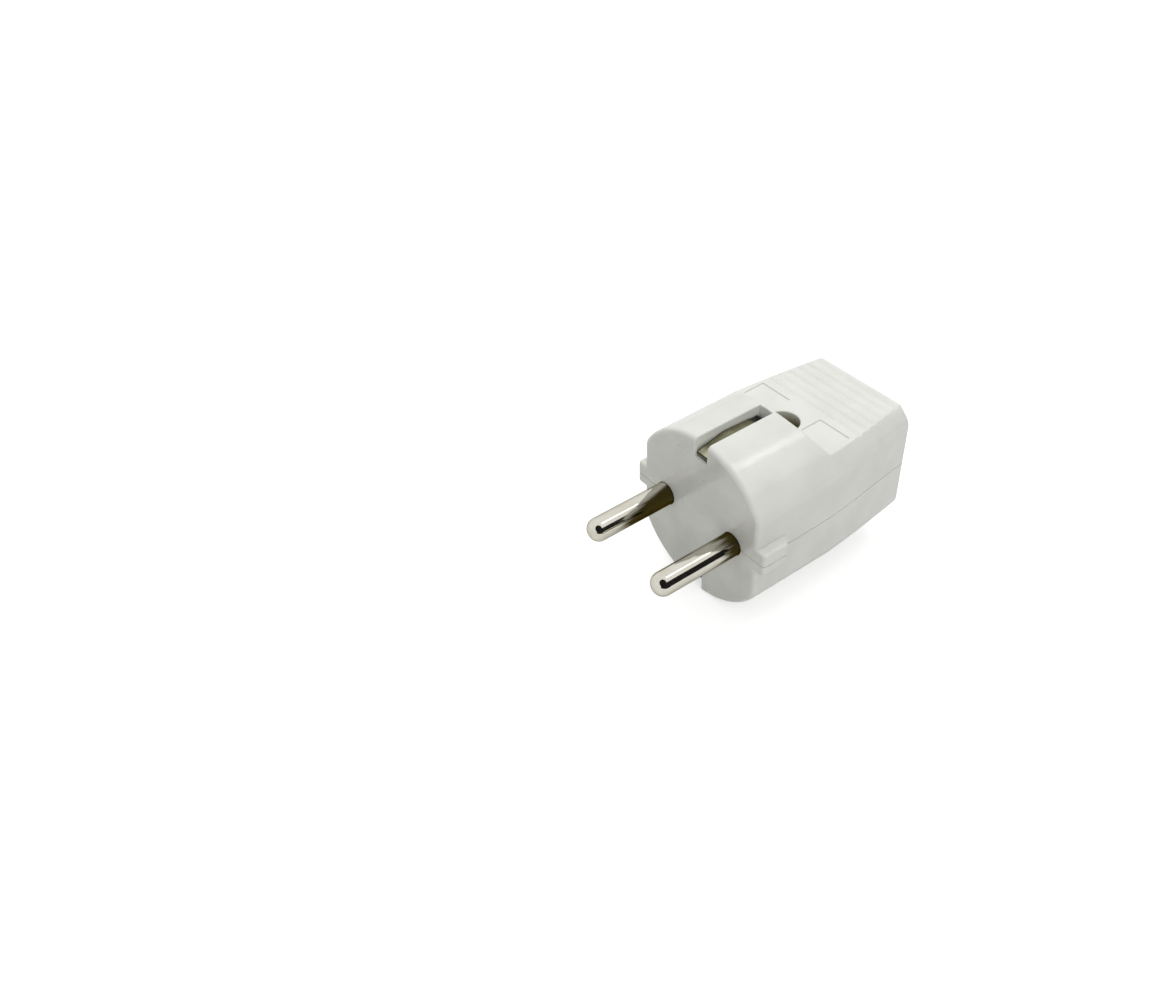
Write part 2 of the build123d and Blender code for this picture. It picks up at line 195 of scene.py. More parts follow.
class MouldingFinish(bpy.types.PropertyGroup):
    """Colours and surface of the moulded pieces."""

    shell: colour("Shell", "Colour of the half shells", (0.755, 0.763, 0.722))
    shell_shade: colour(
        "Shell shade", "Slightly greyer colour in clouds over the half shells", (0.705, 0.717, 0.662)
    )
    clamp: colour("Clamp", "Colour of the cord clamp", (0.62, 0.63, 0.60))
    clamp_shade: colour("Clamp shade", "Greyer colour in clouds over the cord clamp", (0.55, 0.56, 0.53))
    gloss_rough: share("Smoothest", "Roughness of the smoothest patches", 0.10)
    matt_rough: share("Roughest", "Roughness of the dullest patches", 0.18)
    grain_size: length("Grain", "Size of the fine grain left by the mould", 0.8)
    grain_depth: length("Grain depth", "Depth of that grain", 0.05)
    cloud_size: length("Clouds", "Size of the clouds of shade", 7.0)
    # One colour serves two marks: painted shade deep in the earth slots and screw holes, and dirt on the
    # front face
    shade_and_grime: colour("Grime", "Colour deep in the earth slots and screw holes", (0.135, 0.118, 0.025))
    face_grime: share("Face grime", "Most that smears of grime cover the front face", 0.15)
    face_depth: length("Face depth", "Distance behind the face where that ends", 0.6)
    speck_size: length("Specks", "Size of the specks of dirt on the face", 0.8)
    speck_grime: share("Speck grime", "How dark those specks are", 0.4)
    speck_start: share("Speck start", "Value of the specks' noise where they start", 0.68)
    speck_full: share("Speck full", "Value of the specks' noise where they are darkest", 0.74)
    # Where the painted shade lies in the earth slots and screw holes, and where it starts and is full
    slot_half_width: length(
        "Slot half width", "How far the slots' walls are from the middle, and a bit", 1.72
    )
    slot_front: length("Slot front", "Distance from the face where grime in the slots starts", 0.7)
    slot_length: length("Slot length", "How far the slots run back from the face, and a bit", 16.4)
    slot_top: length("Slot top", "Height where grime in the slots starts", 16.9)
    slot_floor: length("Slot floor", "Height where grime in the slots is full", 13.95)
    hole_radius: length("Hole radius", "Radius of the screw holes, and a bit", 3.3)
    hole_setback: length("Hole setback", "Distance of the screw holes from the face", 21.4)
    hole_top: length("Hole top", "Height where grime in the screw holes starts", 14.4)
    hole_floor: length("Hole floor", "Height where grime in the screw holes is full", 10.0)


class MetalFinish(bpy.types.PropertyGroup):
    """Colours and surface of the metal pieces."""

    nickel: colour("Nickel", "Colour of the plated pins", (0.71, 0.69, 0.62))
    nickel_stain: colour("Nickel stain", "Duller, yellower patches of the pins", (0.62, 0.59, 0.50))
    strip: colour("Strip", "Colour of the spring strip", (0.24, 0.235, 0.145))
    strip_stain: colour("Strip stain", "Darker patches of the spring strip", (0.17, 0.16, 0.095))
    strip_worn: colour("Strip worn", "Colour of the strip's worn front end", (0.52, 0.52, 0.36))
    # The strip's dark cut end is painted shade of the gap under its tip
    strip_end: length("Strip end", "Distance from the face of the strip's dark cut end, and a bit", 0.45)
    worn_full: length("Worn full", "Distance from the face up to which the strip is worn", 1.2)
    worn_reach: length("Worn reach", "Distance from the face where the strip's wear ends", 2.6)
    # Dark colour on the strip: on its edges partly tarnish and partly painted shade of the gaps beside it,
    # and on its bend and cut end painted shade and reflection of the dark slot
    strip_tarnish_and_shade: colour("Strip edge", "Colour of the strip's tarnished edges", (0.05, 0.045, 0.03))
    edge_start: length(
        "Edge start", "Distance from the middle where the strip's edges start to darken", 1.15
    )
    edge_full: length("Edge full", "Distance from the middle where the strip's edges are darkest", 1.33)
    bend_start: length("Bend start", "Distance from the face where the strip starts to darken", 12.5)
    bend_full: length("Bend full", "Distance from the face where the strip is darkest", 13.7)
    zinc: colour("Zinc", "Colour of the plated screws and nuts", (0.62, 0.63, 0.63))
    zinc_stain: colour("Zinc stain", "Duller patches of the screws and nuts", (0.43, 0.43, 0.41))
    tarnish: colour("Tarnish", "Brown of the pins close to the face", (0.085, 0.065, 0.018))
    tarnish_full: length("Tarnish full", "How far from the face the pins are brownest", 1.2)
    tarnish_reach: length("Tarnish reach", "How far from the face the pins are brown at all", 6.0)
    tarnish_streak: length("Tarnish streaks", "Width of the streaks at the brown's end", 0.3)
    tarnish_run: length("Tarnish run", "How far those streaks run along a pin", 6.0)
    pin_edge: colour("Pin edge", "Tint of the pins where they are seen edge on", (0.45, 0.43, 0.36))
    slant_start: length("Slant start", "How far past the left pin's axis its brown has the plain reach", 0.9)
    slant: bpy.props.FloatProperty(
        name="Slant",
        description="How much further the left pin is brown for each bit towards +X",
        default=6.0,
    )
    line_size: length("Lines", "Width of the turned or rolled lines", 0.12)
    line_depth: length("Line depth", "Depth of the turned or rolled lines", 0.002)
    stain_size: length("Stains", "Size of the duller patches", 2.5)
    pin_gloss: share("Pin gloss", "Roughness of the pins' smoothest lines", 0.04)
    pin_matt: share("Pin matt", "Roughness of the pins' dullest lines", 0.12)
    strip_gloss: share("Strip gloss", "Roughness of the strip's smoothest lines", 0.22)
    strip_matt: share("Strip matt", "Roughness of the strip's dullest lines", 0.38)
    screw_gloss: share("Screw gloss", "Roughness of the screws' smoothest lines", 0.22)
    screw_matt: share("Screw matt", "Roughness of the screws' dullest lines", 0.4)
    nut_gloss: share("Nut gloss", "Roughness of the nuts' smoothest patches", 0.25)
    nut_matt: share("Nut matt", "Roughness of the nuts' dullest patches", 0.42)


class FastenerSizes(bpy.types.PropertyGroup):
    """Sizes of the screws and nuts that the frame's boxes don't give."""

    head_height: length("Head height", "Height of a screw's head above its seat", 2.0)
    head_edge: length("Head edge", "Radius of the rounding round a head's top", 0.7)
    head_crown: length("Head crown", "Rise of the head's top from that rounding to its middle", 0.15)
    shank_diameter: length("Shank", "Outside diameter of the thread", 3.0)
    recess_width: length("Recess width", "Width of one arm of the cross recess", 0.9)
    recess_reach: length("Recess reach", "Length of the cross recess from tip to tip", 3.2)
    recess_depth: length("Recess depth", "Depth of the cross recess", 1.1)
    recess_taper: length("Recess taper", "Width of the recess's sloping walls", 0.16)
    pitch: length("Pitch", "Distance from one thread to the next", 0.5)
    thread_depth: length("Thread depth", "Height of the thread", 0.28)
    tip: length("Tip", "Length of the chamfer at a screw's end", 0.4)
    nut_chamfer: angle("Nut chamfer", "Slope of the chamfer on a nut's corners", 30.0)


class StageLook(bpy.types.PropertyGroup):
    """Camera, lamps, room, floor and cards."""

    camera_place: point("Camera place", "Where the camera stands", (0.130962, -0.121792, 0.158284))
    azimuth: angle("Azimuth", "Camera's turn from the pins' side towards +X", 54.089)
    elevation: angle("Elevation", "Camera's height above the horizon", 40.418)
    roll: angle("Roll", "Camera's tilt about its own view", -2.213)
    lens: bpy.props.FloatProperty(
        name="Lens",
        description="Focal length on a 36 mm wide sensor",
        default=38.113,
        min=1.0,
        unit="CAMERA",
    )
    key_place: point("Key place", "Middle of the strip lamp behind", (0.085, 0.3, 0.476))
    key_power: wattage("Key light", "Power of the strip lamp behind", 0.15)
    key_width: length("Key width", "Width of the strip lamp", 60)
    key_height: length("Key height", "Height of the strip lamp", 220)
    top_place: point("Top place", "Middle of the soft lamp overhead", (-0.38, 0.24, 0.4))
    top_power: wattage("Top light", "Power of the soft lamp overhead", 1.14)
    fill_place: point("Fill place", "Middle of the soft lamp at the side", (0.6, -0.25, 0.5))
    fill_power: wattage("Fill light", "Power of the soft lamp at the side", 1.96)
    soft_width: length("Soft width", "Side of each of the soft lamps", 420)
    ceiling: bpy.props.FloatProperty(
        name="Ceiling", description="Brightness of the room straight overhead", default=0.93, min=0.0
    )
    walls: share("Walls", "Brightness of the room at the horizon", 0.1)
    wall_top: share("Wall top", "Sine of the angle above the horizon where the walls end", 0.1)
    ceiling_edge: share(
        "Ceiling edge", "Sine of the angle above the horizon where the ceiling is full", 0.95
    )
    floor: colour("Floor", "Colour of the floor", (0.65, 0.65, 0.64))
    floor_reach: length("Floor reach", "Distance from the middle to each of the floor's edges", 2000)
    floor_lift: share("Floor lift", "Glow that makes the floor white in the picture", 0.56)
    floor_gleam: share("Floor gleam", "Glow of the floor where metal and gloss reflect it", 0.26)
    right_card_place: length("Right card place", "Distance of the right card from the middle", 200)
    right_card_top: length("Right card top", "Height of the right card's top edge", 190)
    right_card_near: length("Right card near", "How far the right card runs in front of the face", 400)
    right_card_far: length("Right card far", "How far the right card runs behind the face", 600)
    right_card_shade: share("Right card shade", "Brightness of the right card", 0.025)
    front_card_setback: bpy.props.FloatProperty(
        name="Front card setback",
        description="How many times as far off as the camera the front card stands",
        default=1.2,
        min=1.0,
    )
    front_card_radius: length("Front card radius", "Radius of the front card", 200)
    front_card_shade: share("Front card shade", "Brightness of the front card", 0.02)


def skin(name, rings, poles):
    """Mesh over a grid of rings, with one four-sided cell between each two points of neighbouring rings.

    With poles, the first and last rings are single points and their cells are triangles. Without poles, the
    last ring joins the first, so the surface is closed like a tube. The six-fold volume under the cells
    tells whether they face outwards, and turns them if they don't.
    """
    count = rings.shape[1]
    column = np.arange(count)
    beside = (column + 1) % count
    if poles:
        points = np.concatenate([rings[0, :1], rings[1:-1].reshape(-1, 3), rings[-1, :1]])
        start = 1 + count * np.arange(rings.shape[0] - 3)[:, None]
        after = start + count
        last = len(points) - 1
        first_cells = np.stack([np.zeros(count, int), 1 + beside, 1 + column], axis=1)
        last_cells = np.stack([np.full(count, last), last - count + column, last - count + beside], axis=1)
        triangles = np.concatenate([first_cells, last_cells])
    else:
        points = rings.reshape(-1, 3)
        start = count * np.arange(rings.shape[0])[:, None]
        after = np.roll(start, -1, axis=0)
        triangles = np.zeros((0, 3), int)
    cells = np.stack([start + column, start + beside, after + beside, after + column], axis=2).reshape(-1, 4)
    halves = np.concatenate([cells[:, [0, 1, 2]], cells[:, [0, 2, 3]], triangles])
    corner_a, corner_b, corner_c = (points[halves[:, corner]] for corner in range(3))
    if np.einsum("ij,ij->", corner_a, np.cross(corner_b, corner_c)) < 0:
        cells = cells[:, ::-1]
        triangles = triangles[:, ::-1]
    mesh = bpy.data.meshes.new(name)
    mesh.from_pydata(points.tolist(), [], cells.tolist() + triangles.tolist())
    mesh.shade_smooth()
    mesh.set_sharp_from_angle(angle=SHARP_ANGLE)
    return mesh


def turned(radius, height, around):
    """Points of rings from cylinder coordinates: radius and height may change round each ring."""
    return np.stack([radius * np.cos(around), radius * np.sin(around), height + 0 * around], axis=-1)


def ramp(value):
    """Smooth step from 0 to 1 while the value goes from 0 to 1."""
    held = np.clip(value, 0, 1)
    return held * held * (3 - 2 * held)


def thread_wave(turns):
    """Height of a thread from 0 to 1 after a number of turns: a triangle wave with its ends clipped off."""
    return np.clip(THREAD_STEEPNESS * np.abs(2 * (turns % 1.0) - 1) - THREAD_ROOT, 0, 1)


def cross_recess(sizes, reach, around):
    """Depth of a head's cross recess: the larger of two crossed bars, each a product of two smooth steps."""
    bar_x = np.abs(reach * np.cos(around))
    bar_y = np.abs(reach * np.sin(around))
    half_width = sizes.recess_width / 2
    half_reach = sizes.recess_reach / 2
    taper = sizes.recess_taper
    along_x = ramp((half_reach - bar_x) / taper) * ramp((half_width - bar_y) / taper)
    along_y = ramp((half_reach - bar_y) / taper) * ramp((half_width - bar_x) / taper)
    return sizes.recess_depth * np.maximum(along_x, along_y)


def head_rings(sizes, head_radius, around):
    """Rings of a screw's head, from the middle of its top to its seat at height 0.

    Top: height is a crown that falls with the square of the radius, less the cross recess. Edge: a quarter
    circle, then a straight wall, a small chamfer and the seat, in to the thread's root.
    """
    edge = sizes.head_edge
    flat = head_radius - edge
    reach = np.linspace(0, 1, HEAD_ROWS)[:, None] * flat
    crown = sizes.head_crown * (reach / flat) ** 2
    top = turned(reach, sizes.head_height - crown - cross_recess(sizes, reach, around), around)
    bend = np.linspace(0, pi / 2, EDGE_ROWS)[1:, None]
    edge_middle = sizes.head_height - sizes.head_crown - edge
    rounding = turned(flat + edge * np.sin(bend), edge_middle + edge * np.cos(bend), around)
    bevel = SEAT_BEVEL * head_radius
    root = sizes.shank_diameter / 2 - sizes.thread_depth
    wall_radius = np.array([[head_radius], [head_radius - bevel], [root]])
    wall_height = np.array([[bevel], [0.0], [0.0]])
    return np.concatenate([top, rounding, turned(wall_radius, wall_height, around)])


def screw_rings(sizes, head_radius, shank_length):
    """Rings of a screw along +Z, with its head's seat at height 0, from the middle of the head to the tip.

    The shank's radius is the thread's root plus the thread's wave, which is read at depth over pitch less
    the turn about the axis, so that it is a helix. The thread grows over its first pitch, and the tip
    narrows.
    """
    around = np.linspace(0, 2 * pi, SCREW_COLUMNS, endpoint=False)[None, :]
    root = sizes.shank_diameter / 2 - sizes.thread_depth
    rows = int(ROWS_PER_PITCH * shank_length / sizes.pitch)
    depth = np.linspace(0, 1, rows + 1)[1:, None] * shank_length
    wave = thread_wave(depth / sizes.pitch - around / (2 * pi))
    thread = root + sizes.thread_depth * wave * ramp(depth / sizes.pitch)
    narrow = 1 - TIP_NARROWING * np.clip(1 - (shank_length - depth) / sizes.tip, 0, 1)
    shank = turned(thread * narrow, -depth, around)
    end = turned(np.zeros((1, 1)), np.full((1, 1), -shank_length), around)
    return np.concatenate([head_rings(sizes, head_radius, around), shank, end])


def nut_rings(sizes, flats, width, thickness):
    """Rings of a nut about Z from height 0 to its thickness: up its bore, over the top and down its flats.

    The outside radius is half the width over the cosine of the turn from the nearest flat's middle, which
    draws a regular polygon. The chamfer is a cone: height falls by the slope for each bit of radius past
    the flats. The bore is a thread's outside less the thread's wave, read at height over pitch less the
    turn, and is plain at both mouths.
    """
    around = np.linspace(0, 2 * pi, NUT_COLUMNS_PER_FLAT * flats, endpoint=False)[None, :]
    sector = 2 * pi / flats
    off_middle = (around + sector / 2) % sector - sector / 2
    corner = width / 2 / np.cos(off_middle)
    rows = int(ROWS_PER_PITCH * thickness / sizes.pitch)
    lift = np.linspace(0, 1, rows + 1)[:, None] * thickness
    wave = thread_wave(lift / sizes.pitch - around / (2 * pi))
    mouth = np.maximum(sizes.pitch - lift, lift - thickness + sizes.pitch) / sizes.pitch
    thread = sizes.thread_depth * wave * (1 - ramp(mouth))
    bore = turned(sizes.shank_diameter / 2 + BORE_PLAY - thread, lift, around)
    root = sizes.shank_diameter / 2 - sizes.thread_depth
    rim = np.array([[BORE_RIM * root], [FLAT_RIM * width]])
    fall = tan(sizes.nut_chamfer) * (corner - rim[1])
    top = turned(rim, np.full((2, 1), thickness), around)
    sides = np.concatenate([turned(corner, thickness - fall, around), turned(corner, fall, around)])
    bottom = turned(rim[::-1], np.zeros((2, 1)), around)
    return np.concatenate([bore, top, sides, bottom])


def placed(rings, seat, axis):
    """Rings turned from +Z to an axis and moved to a seat."""
    turn = np.array(Vector((0, 0, 1)).rotation_difference(Vector(axis)).to_matrix())
    return rings @ turn.T + np.array(seat)


def add_piece(name, mesh, material):
    """Object for a new mesh, in place of the frame's node with the same name."""
    piece = bpy.data.objects.new(name + "_detailed", mesh)
    bpy.context.scene.collection.objects.link(piece)
    mesh.materials.append(material)
    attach(piece, "root")
    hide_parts(name)


def dress(node, material):
    """Puts a material in every slot of one of the frame's nodes."""
    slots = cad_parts[node].data.materials
    if not slots:
        slots.append(material)
    for number in range(len(slots)):
        slots[number] = material


def add_sockets(group, inputs, outputs):
    """Named sockets of a node group, each given by its name and kind."""
    for name, kind in inputs:
        group.interface.new_socket(name=name, in_out="INPUT", socket_type=kind)
    for name, kind in outputs:
        group.interface.new_socket(name=name, in_out="OUTPUT", socket_type=kind)


def mix_colours(nodes, links, factor, first, second):
    """Mix node for two colours, joined to its three sources."""
    mix = nodes.new("ShaderNodeMix")
    mix.data_type = "RGBA"
    links.new(factor, mix.inputs["Factor"])
    links.new(first, mix.inputs["A"])
    links.new(second, mix.inputs["B"])
    return mix.outputs["Result"]


def spread(nodes, links, value, low, high):
    """Map Range node that stretches the middle of a noise from low to high, which are sockets or numbers."""
    stretch = nodes.new("ShaderNodeMapRange")
    stretch.inputs["From Min"].default_value = NOISE_LOW
    stretch.inputs["From Max"].default_value = NOISE_HIGH
    links.new(value, stretch.inputs["Value"])
    for limit, name in ((low, "To Min"), (high, "To Max")):
        if isinstance(limit, (int, float)):
            stretch.inputs[name].default_value = limit
        else:
            links.new(limit, stretch.inputs[name])
    return stretch.outputs["Result"]


def noise(nodes, links, place, scale, detail):
    """Noise texture read at a place, with its scale from a socket."""
    pattern = nodes.new("ShaderNodeTexNoise")
    pattern.inputs["Detail"].default_value = detail
    links.new(place, pattern.inputs["Vector"])
    links.new(scale, pattern.inputs["Scale"])
    return pattern.outputs["Fac"]


def moulded_skin():
    """Node group of a moulded surface: clouds of a second shade, patches of less gloss and a fine grain."""
    group = bpy.data.node_groups.get("moulded_skin")
    if group:
        return group
    group = bpy.data.node_groups.new("moulded_skin", "ShaderNodeTree")
    add_sockets(
        group,
        [
            ("Colour", "NodeSocketColor"),
            ("Shade", "NodeSocketColor"),
            ("Smoothest", "NodeSocketFloat"),
            ("Roughest", "NodeSocketFloat"),
            ("Grain", "NodeSocketFloat"),
            ("Clouds", "NodeSocketFloat"),
        ],
        [("Colour", "NodeSocketColor"), ("Roughness", "NodeSocketFloat"), ("Height", "NodeSocketFloat")],
    )
    nodes, links = group.nodes, group.links
    given = nodes.new("NodeGroupInput").outputs
    result = nodes.new("NodeGroupOutput").inputs
    place = nodes.new("ShaderNodeTexCoord").outputs["Object"]
    clouds = noise(nodes, links, place, given["Clouds"], CLOUD_DETAIL)
    grain = noise(nodes, links, place, given["Grain"], GRAIN_DETAIL)
    shade_share = spread(nodes, links, clouds, 0.0, 1.0)
    links.new(mix_colours(nodes, links, shade_share, given["Colour"], given["Shade"]), result["Colour"])
    links.new(spread(nodes, links, clouds, given["Smoothest"], given["Roughest"]), result["Roughness"])
    links.new(grain, result["Height"])
    return group


def plated_metal():
    """Node group of plated metal: lines drawn out by a stretch, and duller patches in a second colour."""
    group = bpy.data.node_groups.get("plated_metal")
    if group:
        return group
    group = bpy.data.node_groups.new("plated_metal", "ShaderNodeTree")
    add_sockets(
        group,
        [
            ("Colour", "NodeSocketColor"),
            ("Stain", "NodeSocketColor"),
            ("Smoothest", "NodeSocketFloat"),
            ("Roughest", "NodeSocketFloat"),
            ("Stretch", "NodeSocketVector"),
            ("Lines", "NodeSocketFloat"),
            ("Stains", "NodeSocketFloat"),
        ],
        [("Colour", "NodeSocketColor"), ("Roughness", "NodeSocketFloat"), ("Height", "NodeSocketFloat")],
    )
    nodes, links = group.nodes, group.links
    given = nodes.new("NodeGroupInput").outputs
    result = nodes.new("NodeGroupOutput").inputs
    place = nodes.new("ShaderNodeTexCoord").outputs["Object"]
    drawn = nodes.new("ShaderNodeMapping")
    links.new(place, drawn.inputs["Vector"])
    links.new(given["Stretch"], drawn.inputs["Scale"])
    lines = noise(nodes, links, drawn.outputs["Vector"], given["Lines"], LINE_DETAIL)
    patches = noise(nodes, links, place, given["Stains"], STAIN_DETAIL)
    stain_share = spread(nodes, links, patches, 0.0, STAIN_MOST)
    links.new(mix_colours(nodes, links, stain_share, given["Colour"], given["Stain"]), result["Colour"])
    links.new(spread(nodes, links, lines, given["Smoothest"], given["Roughest"]), result["Roughness"])
    links.new(lines, result["Height"])
    return group


def finish_material(name, group, values, bump_depth, metallic):
    """Material whose shader takes colour, roughness and bump from a node group with its own values."""
    material = bpy.data.materials.new(name)
    material.use_nodes = True
    nodes, links = material.node_tree.nodes, material.node_tree.links
    shader = nodes["Principled BSDF"]
    shader.inputs["Metallic"].default_value = metallic
    effect = nodes.new("ShaderNodeGroup")
    effect.node_tree = group
    for socket, value in values.items():
        effect.inputs[socket].default_value = value
    bump = nodes.new("ShaderNodeBump")
    bump.inputs["Strength"].default_value = BUMP_STRENGTH
    bump.inputs["Distance"].default_value = bump_depth
    links.new(effect.outputs["Colour"], shader.inputs["Base Color"])
    links.new(effect.outputs["Roughness"], shader.inputs["Roughness"])
    links.new(effect.outputs["Height"], bump.inputs["Height"])
    links.new(bump.outputs["Normal"], shader.inputs["Normal"])
    return material


def moulding(name, main, shade):
    """Material of a moulded piece in two near shades."""
    look = bpy.context.scene.plug_moulding
    values = {
        "Colour": (*main, 1.0),
        "Shade": (*shade, 1.0),
        "Smoothest": look.gloss_rough,
        "Roughest": look.matt_rough,
        "Grain": 1 / look.grain_size,
        "Clouds": 1 / look.cloud_size,
    }
    return finish_material(name, moulded_skin(), values, look.grain_depth, metallic=0.0)


def plating(name, main, stain, stretch, smoothest, roughest):
    """Material of a metal piece, with its lines drawn out by a stretch of the three axes."""
    look = bpy.context.scene.plug_metal
    values = {
        "Colour": (*main, 1.0),
        "Stain": (*stain, 1.0),
        "Smoothest": smoothest,
        "Roughest": roughest,
        "Stretch": stretch,
        "Lines": 1 / look.line_size,
        "Stains": 1 / look.stain_size,
    }
    return finish_material(name, plated_metal(), values, look.line_depth, metallic=1.0)


def reckon(nodes, links, operation, first, second=0.0):
    """Math node of one or two sources, each a socket or a number."""
    reckoner = nodes.new("ShaderNodeMath")
    reckoner.operation = operation
    for number, source in enumerate((first, second)):
        if isinstance(source, (int, float)):
            reckoner.inputs[number].default_value = source
        else:
            links.new(source, reckoner.inputs[number])
    return reckoner.outputs["Value"]


def fade(nodes, links, value, start, end):
    """Smooth step from 0 where the value is at its start to 1 at its end."""
    step = nodes.new("ShaderNodeMapRange")
    step.interpolation_type = "SMOOTHSTEP"
    step.inputs["From Min"].default_value = start
    step.inputs["From Max"].default_value = end
    links.new(value, step.inputs["Value"])
    return step.outputs["Result"]


def plain_noise(nodes, links, size, detail, stretch=(1.0, 1.0, 1.0)):
    """Noise over the object with features of a size, drawn out by a stretch of the three axes."""
    drawn = nodes.new("ShaderNodeMapping")
    drawn.inputs["Scale"].default_value = stretch
    links.new(nodes.new("ShaderNodeTexCoord").outputs["Object"], drawn.inputs["Vector"])
    pattern = nodes.new("ShaderNodeTexNoise")
    pattern.inputs["Scale"].default_value = 1 / size
    pattern.inputs["Detail"].default_value = detail
    links.new(drawn.outputs["Vector"], pattern.inputs["Vector"])
    return pattern.outputs["Fac"]


def place_parts(nodes, links):
    """The three parts of the place on the object, by name."""
    parts = nodes.new("ShaderNodeSeparateXYZ")
    links.new(nodes.new("ShaderNodeTexCoord").outputs["Object"], parts.inputs["Vector"])
    return parts.outputs


def overlay(material, share_of, shade):
    """Lays a colour over a material's own, by a share that a socket gives."""
    nodes, links = material.node_tree.nodes, material.node_tree.links
    base = nodes["Principled BSDF"].inputs["Base Color"]
    plain = base.links[0].from_socket
    laid = nodes.new("ShaderNodeRGB")
    laid.outputs["Color"].default_value = (*shade, 1.0)
    links.new(mix_colours(nodes, links, share_of, plain, laid.outputs["Color"]), base)


def slot_painted_shade(nodes, links, place, look):
    """Share of painted shade in the earth slots: where X is small and Y is within their length, it grows
    with depth.

    Depth is told by the height above or below the middle, so that one rule serves both slots.
    """
    height = reckon(nodes, links, "ABSOLUTE", place["Z"])
    beside = reckon(nodes, links, "ABSOLUTE", place["X"])
    limits = (
        ("LESS_THAN", beside, look.slot_half_width),
        ("GREATER_THAN", place["Y"], look.slot_front),
        ("LESS_THAN", place["Y"], look.slot_length),
        ("GREATER_THAN", height, look.slot_floor),
    )
    shade_and_grime = fade(nodes, links, height, look.slot_top, look.slot_floor)
    for test, value, limit in limits:
        within = reckon(nodes, links, test, value, limit)
        shade_and_grime = reckon(nodes, links, "MULTIPLY", shade_and_grime, within)
    return shade_and_grime


def hole_painted_shade(nodes, links, place, look):
    """Share of painted shade in the screw holes: within a radius of their axis, it grows with depth."""
    height = reckon(nodes, links, "ABSOLUTE", place["Z"])
    along = reckon(nodes, links, "SUBTRACT", place["Y"], look.hole_setback)
    squares = [reckon(nodes, links, "MULTIPLY", way, way) for way in (place["X"], along)]
    from_axis = reckon(nodes, links, "SQRT", reckon(nodes, links, "ADD", *squares))
    in_hole = reckon(nodes, links, "LESS_THAN", from_axis, look.hole_radius)
    depth = fade(nodes, links, height, look.hole_top, look.hole_floor)
    return reckon(nodes, links, "MULTIPLY", in_hole, depth)


def face_grime(nodes, links, place, look):
    """Share of dirt on the front face: smears and specks of two noises, which fade out behind the face."""
    patches = plain_noise(nodes, links, look.cloud_size, SMEAR_DETAIL)
    smears = reckon(nodes, links, "MULTIPLY", patches, look.face_grime)
    dots = plain_noise(nodes, links, look.speck_size, SPECK_DETAIL)
    specks = fade(nodes, links, dots, look.speck_start, look.speck_full)
    dark_specks = reckon(nodes, links, "MULTIPLY", specks, look.speck_grime)
    marks = reckon(nodes, links, "MAXIMUM", smears, dark_specks)
    on_face = fade(nodes, links, place["Y"], look.face_depth, 0.0)
    return reckon(nodes, links, "MULTIPLY", on_face, marks)


def paint_recess_shade_and_face_dirt(material, look):
    """Lays painted shade over a material deep in the earth slots and screw holes, and a little dirt on the
    face.
    """
    nodes, links = material.node_tree.nodes, material.node_tree.links
    place = place_parts(nodes, links)
    slot_shade = slot_painted_shade(nodes, links, place, look)
    hole_shade = hole_painted_shade(nodes, links, place, look)
    on_face = face_grime(nodes, links, place, look)
    # Painted shade deep in the slots and holes; the face gets dirt
    deep = reckon(nodes, links, "MAXIMUM", slot_shade, hole_shade)
    overlay(material, reckon(nodes, links, "MAXIMUM", deep, on_face), look.shade_and_grime)


def tarnish(material, look, plain_x, slant):
    """Browns a pin's material towards the face, where Y is 0, and lets it clear over a reach along -Y.

    The reach grows by the slant for each bit of X past the place where it is plain, and a noise drawn out
    along Y makes its end run out in streaks.
    """
    nodes, links = material.node_tree.nodes, material.node_tree.links
    place = place_parts(nodes, links)
    streaks = plain_noise(nodes, links, look.tarnish_streak, STREAK_DETAIL, TARNISH_LINES)
    streak = reckon(nodes, links, "SUBTRACT", streaks, NOISE_MIDDLE)
    run = reckon(nodes, links, "MULTIPLY", streak, look.tarnish_run)
    beside = reckon(nodes, links, "SUBTRACT", place["X"], plain_x)
    lead = reckon(nodes, links, "MULTIPLY", beside, slant)
    along = reckon(nodes, links, "ADD", place["Y"], reckon(nodes, links, "ADD", lead, run))
    brown = fade(nodes, links, along, -look.tarnish_reach, -look.tarnish_full)
    overlay(material, brown, look.tarnish)


class PLUG_OT_shells(bpy.types.Operator):
    """Give the two half shells their moulded finish, with painted shade deep in the earth slots and screw
    holes
    """

    bl_idname = "plug.shells"
    bl_label = "Half Shells"

    def execute(self, context):
        look = context.scene.plug_moulding
        material = moulding("shell_moulding", look.shell, look.shell_shade)
        paint_recess_shade_and_face_dirt(material, look)
        dress("upper_shell", material)
        dress("lower_shell", material)
        return {"FINISHED"}


class PLUG_OT_pins(bpy.types.Operator):
    """Give the two pins their nickel plating, with lines along them and tarnish near the face"""

    bl_idname = "plug.pins"
    bl_label = "Contact Pins"

    def execute(self, context):
        look = context.scene.plug_metal
        for name, slant in (("left_pin", look.slant), ("right_pin", 0.0)):
            colours = (look.nickel, look.nickel_stain)
            material = plating(name + "_nickel", *colours, PIN_LINES, look.pin_gloss, look.pin_matt)
            shader = material.node_tree.nodes["Principled BSDF"]
            shader.inputs["Specular Tint"].default_value = (*look.pin_edge, 1.0)
            low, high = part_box(name)
            axis_x = (low[0] + high[0]) / 2
            tarnish(material, look, axis_x + look.slant_start, slant)
            dress(name, material)
        return {"FINISHED"}


